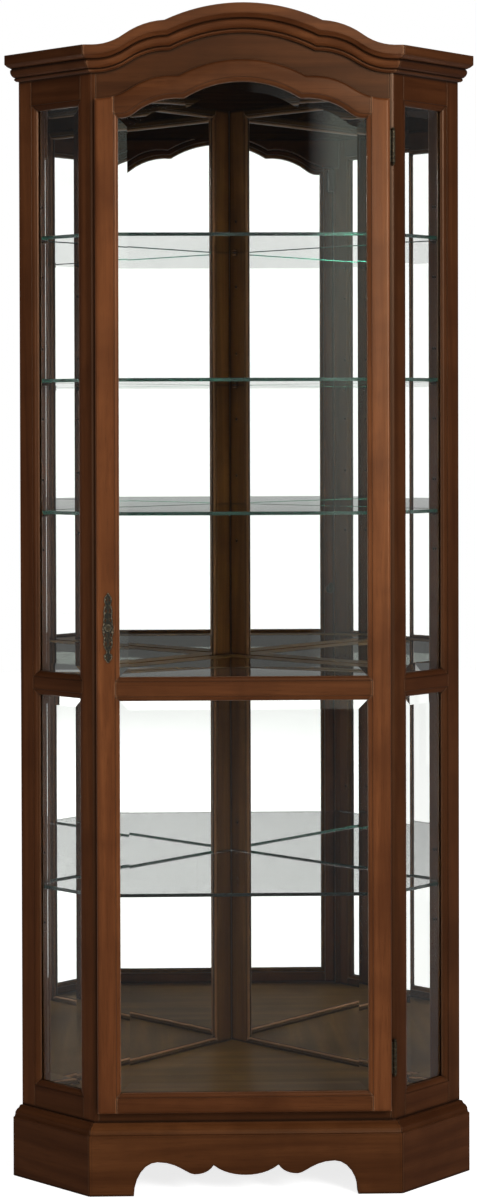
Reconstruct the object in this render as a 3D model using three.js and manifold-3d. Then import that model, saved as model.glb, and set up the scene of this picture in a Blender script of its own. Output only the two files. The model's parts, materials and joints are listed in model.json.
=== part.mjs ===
// Corner curio cabinet: a glazed display case whose plan fits the corner of a room.
// Millimetres, +Z up. X runs across the front, Y runs from the front to the back corner.
// Pieces are modelled with Y = 0 on the front posts' front faces; the last lines centre the part.
import * as THREE from "three";
import { mergeVertices } from "three/addons/utils/BufferGeometryUtils.js";
import Module from "manifold-3d";

const wasm = await Module();
wasm.setup();

// Plan
const frontWidth = 512;
const sideLength = 177.3;

// Heights, most of them chained up from the base or down from the top of the frame
const frameTop = 1928;
const baseHeight = 120;
const deckRise = 26;
const sideSill = 22;
const middleRailBottom = 835;
const middleRailHeight = 41;
const sideHead = 88;
const ceilingDrop = 43;
const crownDrop = 34.8;

// Carcass timber
const frameThickness = 20;
const panelThickness = 18;
const frontPostFace = 26;
const rearPostFace = 31;
const postLeg = 18;
const postStrip = 8;
const postRound = 3;
const rearLeg = 55;
const cornerStileWidth = 42.5;
const backRailLap = 16;
const backSill = 10;
const railTuck = 60;
const jointGap = 0.3;
const runningGap = 0.1;
const cutOverrun = 1;

// Mouldings worked on the edges round the glass
const sideMould = 10;
const sideMouldDepth = 8;
const backMould = 6;
const backMouldDepth = 5;
const doorMould = 8;
const doorMouldDepth = 7;
const quirk = 1.2;
const lip = 1;
const rebate = 8;
const backLip = 1;
const mouldSteps = 4;

// Glass, mirror and backing
const glassThickness = 4;
const glassEdge = 2;
const bevelWidth = 23;
const mirrorThickness = 4;
const backingThickness = 2.8;

// Shelves
const shelfThickness = 6;
const shelfClearance = 4;
const middleShelfDrop = 6;
const middleShelfThickness = 20;
const middleShelfBorder = 50;
const middleGlassThickness = 5;
const middleGlassSeat = 8;
const pinRadius = 2.5;
const pinReach = 9;
const pinRoot = 3;
const pinHolePitch = 61;
const pinHoleDepth = 8;
const pinSeatGap = 0.2;
const frontPinPlace = 24;
const rearPinPlace = 13;
const cornerPinPlace = 16;
const roundSides = 8;

// Crown and its serpentine arch
const crownHeight = 42.8;
const crownOverhang = 34;
const crownFoot = 6.6;
const archEndFlat = 2;
const friezeReveal = 44.9;
const friezeTopDrop = 8;
const friezeLap = 22;
const mainArcSteps = 12;
const shoulderSteps = 6;
const sweepSteps = 6;

// Base
const baseMould = 20;
const baseOverhang = 22;
const baseTopEdge = 6;
const apronSideFoot = 66.5;
const apronPeak = 57;
const apronSteps = 6;

// Door
const doorLockReveal = 6;
const doorHingeReveal = 9;
const doorThickness = 20;
const doorGap = 2.2;
const doorLap = 7.5;
const doorStile = 39.5;
const doorTopRail = 33.7;
const doorBottomRail = 35.5;
const doorEdgeInset = 5;
const doorEdgeDepth = 6;

// Hinges
const hingeSetIn = 2;
const upperHingeDrop = 79.3;
const lowerHingeRise = 87.5;
const hingeHeight = 52;
const knuckleCount = 5;
const knuckleGap = 0.4;
const barrelRadius = 3.4;
const barrelStandOff = 0.4;
const hingePinRadius = 1.5;
const leafThickness = 1.4;
const leafGap = 0.9;
const leafWidth = 22;
const caseLeafWidth = 15;
const leafSeat = 0.2;
const tipLength = 6;
const tipRadius = 3.2;
const barrelSides = 16;

// Lock and catch
const lockInset = 20;
const lockRise = 83;
const lockBodyRadius = 8;
const plugRadius = 3.9;
const camWidth = 9;
const camLength = 15.5;
const camThickness = 2.2;
const camClearance = 0.8;
const keywayWidth = 1.4;
const keywayHeight = 5;
const keywayDepth = 4;
const plateHeight = 118;
const plateWidth = 18;
const plateThickness = 1.5;
const plateSteps = 5;
const catchDrop = 48;
const catchHeight = 44;
const catchWidth = 10.5;
const catchDepth = 24;
const catchFace = 0.6;
const catchNotch = 2;
const strikeThickness = 1.2;
const strikeWidth = 13;
const strikeHeight = 36;

// Places worked out from the driving sizes
const eighthTurn = Math.PI / 4;
const mitreSlope = Math.tan(eighthTurn / 2);
const halfFront = frontWidth / 2;
const deckTop = baseHeight + deckRise;
const sideGlassBottom = deckTop + sideSill;
const middleRailTop = middleRailBottom + middleRailHeight;
const middleShelfTop = middleRailTop - middleShelfDrop;
const sideGlassTop = frameTop - sideHead;
const ceilingBottom = frameTop - ceilingDrop;
const crownBottomEnd = frameTop - crownDrop;
const baseFlat = baseHeight - baseMould;
const backRailBottom = baseFlat;
const frontRailBottom = baseHeight - railTuck;
const apronFoot = halfFront - apronSideFoot;
const sideRun = sideLength * Math.cos(eighthTurn);
const backCornerY = halfFront + sideRun * 2;
const wallLength = (halfFront + sideRun) * Math.SQRT2;
const sideGlassFront = frontPostFace + sideMould;
const sideGlassRear = sideLength - rearPostFace - sideMould;
const wallGlassNear = frameThickness + cornerStileWidth;
const wallGlassFar = wallLength - rearLeg;
const mirrorBottom = deckTop + backSill;
const mirrorTop = ceilingBottom - backRailLap;
const crownTopEnd = crownBottomEnd + crownHeight;
const doorTopEnd = crownBottomEnd - friezeReveal;
const doorGlassEnd = doorTopEnd - doorTopRail;
const doorBottom = deckTop - doorLap;
const doorHalf = halfFront - (doorLockReveal + doorHingeReveal) / 2;
const doorShift = (doorLockReveal - doorHingeReveal) / 2;
const doorGlassHalf = doorHalf - doorStile;
const doorGlassBottom = doorBottom + doorBottomRail;
const archRadiusShare = 0.611;

// Each arch in shares of half the front: its rise, where its sweep ends, and the shoulder's
// place, top and radius
const crownTopArchShares = [0.276, 0.994, 0.489, 0.162, 0.508];
const crownFootArchShares = [0.263, 0.977, 0.495, 0.146, 0.462];
const doorArchShares = [0.258, 0.956, 0.464, 0.151, 0.468];
const glassArchShares = [0.241, 0.803, 0.426, 0.132, 0.457];
const archCentreZ = crownTopEnd + halfFront * crownTopArchShares[0] - frontWidth * archRadiusShare;
const postOpening = halfFront - postLeg;
const postJoint = halfFront - postStrip;
const hingeAxisX = halfFront - hingeSetIn;
const hingeAxisY = -(barrelRadius + barrelStandOff);
const upperHingeZ = doorTopEnd - upperHingeDrop;
const lowerHingeZ = doorBottom + lowerHingeRise;
const lockZ = middleRailTop + lockRise;
const catchZ = doorTopEnd - catchDrop;
const lockX = lockInset - doorHalf;

// Finishes
const cherry = { color: 0x5a2c16, roughness: 0.42, metalness: 0 };
const paleCherry = { color: 0x6b3a20, roughness: 0.42, metalness: 0 };
const clearGlass = { color: 0xe4f1ec, roughness: 0.05, metalness: 0, transparent: true, opacity: 0.3 };
const silvering = { color: 0xd9dedf, roughness: 0.03, metalness: 1 };
const hardboard = { color: 0x4a3526, roughness: 0.8, metalness: 0 };
const oldBrass = { color: 0x4b4232, roughness: 0.45, metalness: 0.9 };
const steel = { color: 0x8d9092, roughness: 0.35, metalness: 0.9 };

// Joining and cutting

// A closed geometry as a solid that can be joined or cut.
function solidOf(geometry) {
  const bare = geometry.clone();
  bare.deleteAttribute("normal");
  bare.deleteAttribute("uv");
  const merged = mergeVertices(bare, 1e-4);
  return new wasm.Manifold(
    new wasm.Mesh({
      numProp: 3,
      vertProperties: merged.attributes.position.array,
      triVerts: new Uint32Array(merged.index.array),
    }),
  );
}

// A solid back as a geometry.
function geometryOf(solid) {
  const mesh = solid.getMesh();
  const positions = new Float32Array(mesh.numVert * 3);
  for (let i = 0; i < mesh.numVert; i += 1) {
    const start = i * mesh.numProp;
    positions.set(mesh.vertProperties.subarray(start, start + 3), i * 3);
  }
  const geometry = new THREE.BufferGeometry();
  geometry.setAttribute("position", new THREE.BufferAttribute(positions, 3));
  geometry.setIndex(new THREE.BufferAttribute(mesh.triVerts, 1));
  geometry.computeVertexNormals();
  return geometry;
}

function cut(body, ...tools) {
  return tools.reduce((left, tool) => left.subtract(tool), body);
}

function joined(first, ...others) {
  return others.reduce((whole, other) => whole.add(other), first);
}

function shapeOf(points) {
  return new THREE.Shape(points.map(([a, b]) => new THREE.Vector2(a, b)));
}

// A plan outline (x, y) raised from one height to another.
function raised(points, low, high) {
  const options = { depth: high - low, bevelEnabled: false };
  const geometry = new THREE.ExtrudeGeometry(shapeOf(points), options);
  return solidOf(geometry.translate(0, 0, low));
}

// A front outline (x, z) run back from one depth to another.
function runBack(outline, near, far) {
  const shape = Array.isArray(outline) ? shapeOf(outline) : outline;
  const options = { depth: far - near, bevelEnabled: false, curveSegments: apronSteps };
  const geometry = new THREE.ExtrudeGeometry(shape, options);
  return solidOf(geometry.rotateX(Math.PI / 2).translate(0, far, 0));
}

function block(x0, x1, y0, y1, z0, z1) {
  const geometry = new THREE.BoxGeometry(x1 - x0, y1 - y0, z1 - z0);
  return solidOf(geometry.translate((x0 + x1) / 2, (y0 + y1) / 2, (z0 + z1) / 2));
}

// A round bar along Y.
function barAlongY(radius, x, z, near, far, sides) {
  const geometry = new THREE.CylinderGeometry(radius, radius, Math.abs(far - near), sides);
  return solidOf(geometry.translate(0, (near + far) / 2, 0).translate(x, 0, z));
}

// A closed solid through rings of equal point counts, with both ends capped.
// capPlane gives the two coordinates in which the end rings are flat and simple.
function loft(rings, capPlane) {
  const count = rings[0].length;
  const positions = rings.flat(2);
  const triangles = [];
  for (let ring = 0; ring + 1 < rings.length; ring += 1) {
    for (let i = 0; i < count; i += 1) {
      const next = (i + 1) % count;
      const a = ring * count + i;
      const b = ring * count + next;
      triangles.push(a, b, b + count, a, b + count, a + count);
    }
  }
  const flatten = (ring) => ring.map((p) => new THREE.Vector2(p[capPlane[0]], p[capPlane[1]]));
  const last = (rings.length - 1) * count;
  const wound = THREE.ShapeUtils.isClockWise(flatten(rings[0]));
  for (const [a, b, c] of THREE.ShapeUtils.triangulateShape(flatten(rings[0]), [])) {
    triangles.push(...(wound ? [a, b, c] : [a, c, b]));
  }
  for (const [a, b, c] of THREE.ShapeUtils.triangulateShape(flatten(rings.at(-1)), [])) {
    triangles.push(...(wound ? [last + a, last + c, last + b] : [last + a, last + b, last + c]));
  }
  return outward(positions, triangles);
}

// The solid of a triangle list, turned so that its faces point outwards.
function outward(positions, triangles) {
  const point = (i) => new THREE.Vector3().fromArray(positions, i * 3);
  let volume = 0;
  for (let i = 0; i < triangles.length; i += 3) {
    const [a, b, c] = [point(triangles[i]), point(triangles[i + 1]), point(triangles[i + 2])];
    volume += a.dot(b.cross(c));
  }
  const order = volume < 0 ? triangles.toReversed() : triangles;
  const geometry = new THREE.BufferGeometry();
  geometry.setAttribute("position", new THREE.Float32BufferAttribute(positions, 3));
  geometry.setIndex(order);
  return solidOf(geometry);
}

// Adds a named mesh with its own material to a group.
function add(group, name, solid, finish) {
  const mesh = new THREE.Mesh(geometryOf(solid), new THREE.MeshStandardMaterial(finish));
  mesh.name = name;
  group.add(mesh);
  return mesh;
}

// Places of the shelf pins and of the spare holes above and below each of them
const lowerShelfShare = 0.507;
const upperShelfShares = [0.278, 0.502, 0.745];
const lowerBay = middleShelfTop - middleShelfThickness - deckTop;
const upperBay = ceilingBottom - middleShelfTop;
const shelfTops = [
  deckTop + lowerBay * lowerShelfShare,
  ...upperShelfShares.map((share) => middleShelfTop + upperBay * share),
];
const pinHeights = shelfTops.map((top) => top - shelfThickness - pinSeatGap - pinRadius);
const holeHeights = pinHeights.flatMap((z) => [z - pinHolePitch, z + pinHolePitch]);

// A post with shelf pins standing out of the face at depth faceY and spare holes into it.
// The pins point towards +Y or -Y; place carries them into the post's own axes.
function withPins(post, x, faceY, way, place) {
  const holes = holeHeights.map((z) =>
    barAlongY(pinRadius, x, z, faceY - way * pinHoleDepth, faceY + way * cutOverrun, roundSides),
  );
  const pins = pinHeights.map((z) =>
    barAlongY(pinRadius, x, z, faceY - way * pinRoot, faceY + way * pinReach, roundSides),
  );
  return joined(cut(post, ...holes.map(place)), ...pins.map(place));
}

// Serpentine arch: a main arc, a convex shoulder beyond a cusp, and a concave sweep to a flat end.
// Every arch of the cabinet turns about one centre; this one's flat ends lie at endZ.
function serpentine(endZ, shares) {
  const [rise, sweepX, shoulderX, shoulderTop, shoulderRadius] = shares.map(
    (share) => share * halfFront,
  );
  const mainRadius = endZ + rise - archCentreZ;
  const shoulderZ = endZ + shoulderTop - shoulderRadius;
  const across = sweepX - shoulderX;
  const below = endZ - shoulderZ;
  const sweepRadius =
    (across ** 2 + below ** 2 - shoulderRadius ** 2) / (2 * (shoulderRadius - below));
  return { endZ, rise, sweepX, mainRadius, shoulderRadius, shoulderX, shoulderZ, sweepRadius };
}

// Points of the right half, from the crest out to x = reach, of the arch moved out by offset.
function archHalf(arch, offset, reach) {
  const main = arch.mainRadius + offset;
  const shoulder = arch.shoulderRadius + offset;
  const sweep = arch.sweepRadius - offset;
  const sweepZ = arch.endZ + arch.sweepRadius;
  const rise = arch.shoulderZ - archCentreZ;
  const apart = Math.hypot(arch.shoulderX, rise);
  const along = (main ** 2 - shoulder ** 2 + apart ** 2) / (2 * apart);
  const aside = Math.sqrt(main ** 2 - along ** 2);
  const cuspX = (arch.shoulderX * along - rise * aside) / apart;
  const cuspAngle = Math.asin(cuspX / main);
  const turnAngle = Math.atan2(arch.sweepX - arch.shoulderX, sweepZ - arch.shoulderZ);
  const shoulderStart = Math.asin((cuspX - arch.shoulderX) / shoulder);
  const sweepStop = Math.asin(Math.max(0, arch.sweepX - reach + archEndFlat) / sweep);
  const short = Math.max(0, arch.sweepX - reach);
  const points = [];
  for (let i = 0; i < mainArcSteps; i += 1) {
    const angle = (cuspAngle * i) / mainArcSteps;
    points.push([main * Math.sin(angle), archCentreZ + main * Math.cos(angle)]);
  }
  for (let i = 0; i < shoulderSteps; i += 1) {
    const angle = shoulderStart + ((turnAngle - shoulderStart) * i) / shoulderSteps;
    const x = arch.shoulderX + shoulder * Math.sin(angle);
    points.push([x, arch.shoulderZ + shoulder * Math.cos(angle)]);
  }
  for (let i = 0; i <= sweepSteps; i += 1) {
    const angle = turnAngle + ((sweepStop - turnAngle) * i) / sweepSteps;
    points.push([arch.sweepX - sweep * Math.sin(angle), sweepZ - sweep * Math.cos(angle)]);
  }
  points.push([reach, sweepZ - Math.sqrt(sweep ** 2 - short ** 2)]);
  return points;
}

// The whole arch from right to left.
function archAcross(arch, offset, reach) {
  const half = archHalf(arch, offset, reach);
  const left = half.slice(1).map(([x, z]) => [-x, z]);
  return [...half.toReversed(), ...left];
}

const crownTopArch = serpentine(crownTopEnd, crownTopArchShares);
const crownFootArch = serpentine(crownBottomEnd, crownFootArchShares);
const doorTopArch = serpentine(doorTopEnd, doorArchShares);
const doorGlassArch = serpentine(doorGlassEnd, glassArchShares);

// Framed glazing

// Outline of a rectangle grown by offset on every side.
function rectangle(x0, x1, z0, z1) {
  return (offset) => [
    [x0 - offset, z0 - offset],
    [x1 + offset, z0 - offset],
    [x1 + offset, z1 + offset],
    [x0 - offset, z1 + offset],
  ];
}

// Outline of an opening with an arched head, grown by offset on every side.
function archedOpening(half, bottom, arch) {
  return (offset) => [
    [-half - offset, bottom - offset],
    [half + offset, bottom - offset],
    ...archAcross(arch, offset, half + offset),
  ];
}

// Stack of outlines at given depths along +Y, each a pair of depth and offset.
function stack(outline, levels) {
  const rings = levels.map(([y, offset]) => outline(offset).map(([x, z]) => [x, y, z]));
  return loft(rings, [0, 2]);
}

// Cutter for a glazed opening: an ovolo moulding, a lip, and a rebate open at the back.
function windowCutter(outline, mould, mouldDepth, lipDepth, thickness) {
  const levels = [
    [-cutOverrun, mould],
    [quirk, mould],
  ];
  for (let i = 0; i <= mouldSteps; i += 1) {
    const angle = (Math.PI / 2) * (i / mouldSteps);
    const depth = mouldDepth - (mouldDepth - quirk) * Math.cos(angle);
    levels.push([depth, (mould - quirk) * (1 - Math.sin(angle))]);
  }
  levels.push([mouldDepth + lipDepth, 0]);
  levels.push([mouldDepth + lipDepth, rebate]);
  levels.push([thickness + cutOverrun, rebate]);
  return stack(outline, levels);
}

// A pane whose front edges are ground to a wide bevel, front face at depth y.
function bevelledPane(outline, y) {
  const edge = rebate - jointGap;
  return stack(outline, [
    [y, edge - bevelWidth],
    [y + glassThickness - glassEdge, edge],
    [y + glassThickness, edge],
  ]);
}

// Outline of a rail between two uprights; where an opening adjoins, its end is mitred.
function railOutline(left, right, low, high, mould, openBelow, openAbove) {
  const bottomLeft = openBelow ? [[left - mould, low + mould], [left, low]] : [[left - mould, low]];
  const bottomRight = openBelow
    ? [[right, low], [right + mould, low + mould]]
    : [[right + mould, low]];
  const topRight = openAbove
    ? [[right + mould, high - mould], [right, high]]
    : [[right + mould, high]];
  const topLeft = openAbove ? [[left, high], [left - mould, high - mould]] : [[left - mould, high]];
  return [...bottomLeft, ...bottomRight, ...topRight, ...topLeft];
}

// Plan outline of the inside of the case, drawn in from the front and sides and from the walls.
function insidePlan(inset, wallInset) {
  const frontX = halfFront - inset * mitreSlope;
  const rearX = halfFront + (sideLength - wallInset - inset) * Math.SQRT1_2;
  const rearY = (sideLength - wallInset + inset) * Math.SQRT1_2;
  return [
    [-frontX, inset],
    [frontX, inset],
    [rearX, rearY],
    [0, backCornerY - wallInset * Math.SQRT2],
    [-rearX, rearY],
  ];
}

// Side frames, drawn along the right side: x runs back from the front corner, y runs inwards

const sideWindows = [
  rectangle(sideGlassFront, sideGlassRear, sideGlassBottom, middleRailBottom),
  rectangle(sideGlassFront, sideGlassRear, middleRailTop, sideGlassTop),
];
const sideCutters = sideWindows.map((outline) =>
  windowCutter(outline, sideMould, sideMouldDepth, lip, frameThickness),
);

function sideRailOutlines(gap) {
  const left = sideGlassFront + gap;
  const right = sideGlassRear - gap;
  return {
    bottom: railOutline(left, right, frontRailBottom, sideGlassBottom, sideMould, false, true),
    middle: railOutline(left, right, middleRailBottom, middleRailTop, sideMould, true, true),
    top: railOutline(left, right, sideGlassTop, frameTop, sideMould, true, false),
  };
}

// Housings that the rails leave in the posts beside them.
function sideHousings() {
  return Object.values(sideRailOutlines(0)).map((outline) =>
    runBack(outline, -cutOverrun, frameThickness + cutOverrun),
  );
}

// The wall frames' own axes, carried into the side frame's.
function fromWallFrame(solid) {
  const geometry = geometryOf(solid);
  return solidOf(geometry.rotateZ(-Math.PI / 2).translate(sideLength, wallLength, 0));
}

// Front post: a five-sided section with a short leg along the front and a rounded corner.
function frontPost() {
  const leg = postLeg * Math.SQRT1_2;
  const deep = frameThickness * Math.SQRT1_2;
  const rounding = postRound * Math.SQRT1_2;
  const section = [
    [sideGlassFront, 0],
    [sideGlassFront, frameThickness],
    [frameThickness * mitreSlope, frameThickness],
    [deep - leg, deep + leg],
    [-leg, leg],
    [-rounding, rounding],
    [(postRound - rounding) / 4, rounding / 4],
    [postRound, 0],
  ];
  const post = raised(section, 0, frameTop);
  const friezeEnd = doorTopEnd - friezeLap - jointGap;
  const notch = (low, high) => {
    const reach = halfFront + frameThickness;
    const box = new THREE.BoxGeometry(reach, reach, high - low);
    const x = postJoint - reach / 2;
    const y = frameThickness + cutOverrun - reach / 2;
    box.translate(x - halfFront, y, (low + high) / 2).rotateZ(-eighthTurn);
    return solidOf(box);
  };
  const shaped = cut(
    post,
    ...sideCutters,
    ...sideHousings(),
    notch(friezeEnd, frameTop + cutOverrun),
    notch(frontRailBottom - jointGap, deckTop + jointGap),
  );
  return withPins(shaped, frontPinPlace, frameThickness, 1, (pin) => pin);
}

// Openings and rails of a wall frame: x runs from the back corner, y = 0 is the wall face
const wallWindow = rectangle(wallGlassNear, wallGlassFar, mirrorBottom, mirrorTop);

const wallCutter = windowCutter(wallWindow, backMould, backMouldDepth, backLip, frameThickness)
  .translate([0, -frameThickness, 0]);

function wallRailOutlines(gap) {
  const left = wallGlassNear + gap;
  const right = wallGlassFar - gap;
  return {
    bottom: railOutline(left, right, backRailBottom, mirrorBottom, backMould, false, true),
    top: railOutline(left, right, mirrorTop, frameTop, backMould, true, false),
  };
}

function wallHousings() {
  return Object.values(wallRailOutlines(0)).map((outline) =>
    runBack(outline, -frameThickness - cutOverrun, cutOverrun),
  );
}

// Rear post: an L section with one leg in the side frame and one in the wall frame.
function rearPost() {
  const legFront = sideLength - frameThickness;
  const section = [
    [sideGlassRear, 0],
    [sideLength, 0],
    [sideLength, rearLeg],
    [legFront, rearLeg],
    [legFront, frameThickness],
    [sideGlassRear, frameThickness],
  ];
  const shaped = cut(
    raised(section, 0, frameTop),
    ...sideCutters,
    ...sideHousings(),
    fromWallFrame(wallCutter),
    ...wallHousings().map(fromWallFrame),
  );
  return withPins(shaped, wallGlassFar + rearPinPlace, -frameThickness, -1, fromWallFrame);
}

// One glazed side. The left side is the right one seen in a mirror.
function sideFrame(hand) {
  const side = new THREE.Group();
  side.name = `${hand}_side`;
  add(side, `front_${hand}_post`, frontPost(), cherry);
  add(side, `rear_${hand}_post`, rearPost(), cherry);
  for (const [place, outline] of Object.entries(sideRailOutlines(jointGap))) {
    const rail = cut(runBack(outline, 0, frameThickness), ...sideCutters);
    add(side, `${hand}_side_${place}_rail`, rail, cherry);
  }
  const paneY = sideMouldDepth + lip + jointGap;
  add(side, `${hand}_lower_side_glass`, bevelledPane(sideWindows[0], paneY), clearGlass);
  add(side, `${hand}_upper_side_glass`, bevelledPane(sideWindows[1], paneY), clearGlass);
  return side;
}

// One mirrored wall frame, from the back corner to the rear post.
function wallFrame(hand, pinned) {
  const wall = new THREE.Group();
  wall.name = `${hand}_wall`;
  const start = jointGap * Math.SQRT1_2;
  const section = [
    [start, 0],
    [start + frameThickness, -frameThickness],
    [wallGlassNear, -frameThickness],
    [wallGlassNear, 0],
  ];
  const stile = cut(raised(section, 0, frameTop), wallCutter, ...wallHousings());
  const pinX = frameThickness + cornerPinPlace;
  const fitted = pinned ? withPins(stile, pinX, -frameThickness, -1, (pin) => pin) : stile;
  add(wall, `back_${hand}_stile`, fitted, cherry);
  for (const [place, outline] of Object.entries(wallRailOutlines(jointGap))) {
    const rail = cut(runBack(outline, -frameThickness, 0), wallCutter);
    add(wall, `back_${hand}_${place}_rail`, rail, cherry);
  }
  const edge = rebate - jointGap;
  const mirrorFront = backMouldDepth + backLip + jointGap - frameThickness;
  const mirrorBack = mirrorFront + mirrorThickness;
  const boardFront = mirrorBack + jointGap;
  const outline = wallWindow(edge);
  add(wall, `back_${hand}_mirror`, runBack(outline, mirrorFront, mirrorBack), silvering);
  const board = runBack(outline, boardFront, boardFront + backingThickness);
  add(wall, `back_${hand}_board`, board, hardboard);
  const near = wallGlassNear + jointGap;
  const far = wallGlassFar - jointGap;
  const foot = block(near, far, -frameThickness, 0, 0, backRailBottom - jointGap);
  add(wall, `base_back_${hand}`, foot, cherry);
  return wall;
}

// Floors and shelves of the case

function floorPanel(low, high) {
  const inset = frameThickness + jointGap;
  return raised(insidePlan(inset, inset), low, high);
}

function glassShelf(top) {
  const inset = frameThickness + shelfClearance;
  return raised(insidePlan(inset, inset), top - shelfThickness, top);
}

// The fixed shelf: a moulded border with a pane let into its top.
function addMiddleShelf(group) {
  const low = middleShelfTop - middleShelfThickness;
  const opening = frameThickness + jointGap + middleShelfBorder;
  const seat = opening - middleGlassSeat;
  const seatZ = middleShelfTop - middleGlassThickness - jointGap;
  const through = raised(insidePlan(opening, opening), low - cutOverrun, seatZ + cutOverrun);
  const recess = raised(insidePlan(seat, seat), seatZ, middleShelfTop + cutOverrun);
  const border = cut(floorPanel(low, middleShelfTop), through, recess);
  add(group, "middle_shelf_frame", border, cherry);
  const pane = seat + jointGap;
  const insert = raised(insidePlan(pane, pane), seatZ, seatZ + middleGlassThickness);
  add(group, "middle_shelf_glass", insert, clearGlass);
}

// Crown

// Crown section from the back of its foot to the back of its top, as pairs of how far it
// stands out and how high: bead, large ovolo, quirk, cove and fascia.
const crownShares = [
  [0.29, 0.03],
  [0.34, 0.07],
  [0.32, 0.11],
  [0.26, 0.13],
  [0.4, 0.16],
  [0.52, 0.22],
  [0.59, 0.3],
  [0.61, 0.38],
  [0.57, 0.45],
  [0.5, 0.48],
  [0.66, 0.51],
  [0.8, 0.54],
  [0.94, 0.6],
  [1, 0.63],
];

const crownSection = [
  [jointGap, 0],
  [crownFoot, 0],
  ...crownShares.map(([out, up]) => [crownOverhang * out, crownHeight * up]),
  [crownOverhang, crownHeight],
  [jointGap, crownHeight],
];

// The arched front crown, lofted between the arches of its foot and its top.
function crownFront() {
  const lines = crownSection.map(([out, up]) => {
    const reach = halfFront + out * mitreSlope - jointGap;
    const foot = archAcross(crownFootArch, 0, reach);
    const top = archAcross(crownTopArch, 0, reach);
    return foot.map(([x, z], i) => {
      const share = up / crownHeight;
      return [x + (top[i][0] - x) * share, -out, z + (top[i][1] - z) * share];
    });
  });
  const rings = lines[0].map((_, station) => lines.map((line) => line[station]));
  return loft(rings, [1, 2]);
}

// A straight moulded run along a side, mitred at the front corner and square at the wall.
function sideRun45(section, floor) {
  const ring = (place) => section.map(([out, up]) => [place(out), -out, floor + up]);
  return loft([ring((out) => -out * mitreSlope), ring(() => sideLength)], [1, 2]);
}

// The frieze board behind the crown and the door head.
function friezeBoard() {
  const reach = postJoint - jointGap;
  const lower = archAcross(doorTopArch, -friezeLap, reach);
  const upper = archAcross(crownTopArch, -friezeTopDrop, reach);
  return runBack([...upper, ...lower.toReversed()], 0, frameThickness);
}

// Base

// Base section: a flat board with a small ogee along its top.
const baseTopShares = [
  [1, 0.1],
  [0.86, 0.14],
  [0.8, 0.3],
  [0.78, 0.5],
  [0.62, 0.7],
  [0.4, 0.8],
  [0.3, 0.95],
];

const baseSection = [
  [jointGap, 0],
  [baseOverhang, 0],
  [baseOverhang, baseFlat],
  ...baseTopShares.map(([out, up]) => [
    baseOverhang * out,
    baseFlat + (baseHeight - baseFlat) * up,
  ]),
  [baseTopEdge, baseHeight],
  [jointGap, baseHeight],
];

// Apron scallop, right half from the foot inwards, in shares of its half width and peak height
const apronShoulderShare = 0.79;
const apronCurves = [
  [0.607, 1, 0.528, 0.63, 0.459, 0.63],
  [0.39, 0.63, 0.327, 0.7, 0.29, 0.895],
  [0.2, 0.66, 0.09, 0.6, 0, 0.6],
];

function apronCutter() {
  const peakX = apronFoot * apronShoulderShare;
  const width = apronFoot - peakX;
  const half = [];
  for (let i = 0; i <= apronSteps; i += 1) {
    const angle = (Math.PI / 2) * (i / apronSteps);
    half.push([peakX + width * Math.cos(angle), apronPeak * Math.sin(angle)]);
  }
  for (const curve of apronCurves) {
    const start = half.at(-1);
    const [a, b, c] = [0, 2, 4].map(
      (i) => new THREE.Vector2(apronFoot * curve[i], apronPeak * curve[i + 1]),
    );
    const path = new THREE.CubicBezierCurve(new THREE.Vector2(...start), a, b, c);
    const points = path.getPoints(apronSteps).slice(1);
    half.push(...points.map((point) => [point.x, point.y]));
  }
  half.unshift([apronFoot, -cutOverrun]);
  const left = half.slice(0, -1).map(([x, z]) => [-x, z]);
  const outline = [...half, ...left.toReversed()];
  return runBack(outline, -baseOverhang - cutOverrun, cutOverrun);
}

function baseFront() {
  const ring = (hand) =>
    baseSection.map(([out, up]) => [
      hand * (halfFront + out * mitreSlope - jointGap),
      -out,
      up,
    ]);
  return cut(loft([ring(-1), ring(1)], [1, 2]), apronCutter());
}

// Door, drawn about its own middle; depths run back from its front face

const doorFront = -doorGap - doorThickness;
const glassCornerZ = archHalf(doorGlassArch, 0, doorGlassHalf).at(-1)[1];
const doorWindows = [
  rectangle(-doorGlassHalf, doorGlassHalf, doorGlassBottom, middleRailBottom),
  archedOpening(doorGlassHalf, middleRailTop, doorGlassArch),
];
const doorCutters = doorWindows.map((outline) =>
  windowCutter(outline, doorMould, doorMouldDepth, lip, doorThickness).translate([0, doorFront, 0]),
);

// The whole door's outer shape with its front edge rounded over.
function doorEnvelope() {
  const levels = [];
  for (let i = 0; i <= mouldSteps; i += 1) {
    const angle = (Math.PI / 2) * (i / mouldSteps);
    const depth = doorEdgeDepth * (1 - Math.cos(angle));
    levels.push([doorFront + depth, -doorEdgeInset * (1 - Math.sin(angle))]);
  }
  levels.push([-doorGap, 0]);
  return stack(archedOpening(doorHalf, doorBottom, doorTopArch), levels);
}

function doorRailOutlines(gap) {
  const left = -doorGlassHalf + gap;
  const right = doorGlassHalf - gap;
  const low = middleRailBottom;
  const top = doorTopEnd + doorTopArch.rise + cutOverrun;
  return {
    bottom: railOutline(left, right, doorBottom, doorGlassBottom, doorMould, false, true),
    middle: railOutline(left, right, low, middleRailTop, doorMould, true, true),
    top: railOutline(left, right, glassCornerZ, top, doorMould, true, false),
  };
}

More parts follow.
